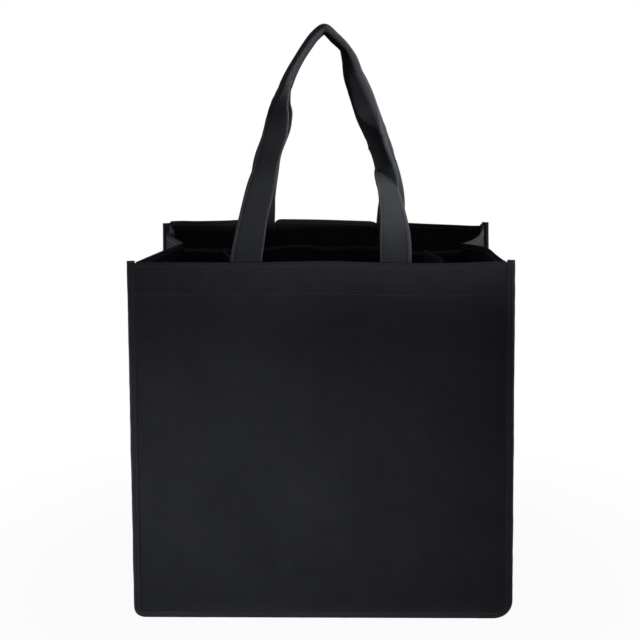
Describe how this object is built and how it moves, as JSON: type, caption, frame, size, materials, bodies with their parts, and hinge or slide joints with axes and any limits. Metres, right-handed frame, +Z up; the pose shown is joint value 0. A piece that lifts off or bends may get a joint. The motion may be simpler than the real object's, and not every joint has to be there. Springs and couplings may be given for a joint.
{
  "type": "six bottle carrier bag",
  "caption": "Upright black cloth bottle carrier with tucked side gussets, divided cells, bound outer seams and long strap handles.",
  "frame": {"origin": "on the floor under the middle of the bag", "axes": "+Z up towards the handles, -Y out of the front panel, +X to the right as seen from the front"},
  "size_m": [0.33, 0.2116, 0.522],
  "materials": {
    "cloth": "matte spun-bonded polypropylene with a fine embossed dot grain",
    "tape": "matte folded binding tape, stitched through",
    "strap": "matte folded strap, stitched along both edges",
    "board": "matte black stiffening board"
  },
  "bodies": {
    "bag": {"front_panel": "cloth", "back_panel": "cloth", "left_gusset": "cloth", "right_gusset": "cloth", "base_panel": "cloth", "base_board": "board", "centre_divider": "cloth", "front_left_partition": "cloth", "front_right_partition": "cloth", "back_left_partition": "cloth", "back_right_partition": "cloth", "front_binding": "tape", "back_binding": "tape", "front_handle_tails": "strap", "back_handle_tails": "strap"},
    "front_handle": {"front_handle": "strap"},
    "back_handle": {"back_handle": "strap"}
  },
  "joints": [
    {"name": "front_handle_swing", "type": "hinge", "parent": "bag", "child": "front_handle", "pos_m": [0, -0.1045, 0.325], "axis": [1, 0, 0], "range_deg": [0, 196]},
    {"name": "back_handle_swing", "type": "hinge", "parent": "bag", "child": "back_handle", "pos_m": [0, 0.1045, 0.325], "axis": [-1, 0, 0], "range_deg": [0, 196]}
  ]
}
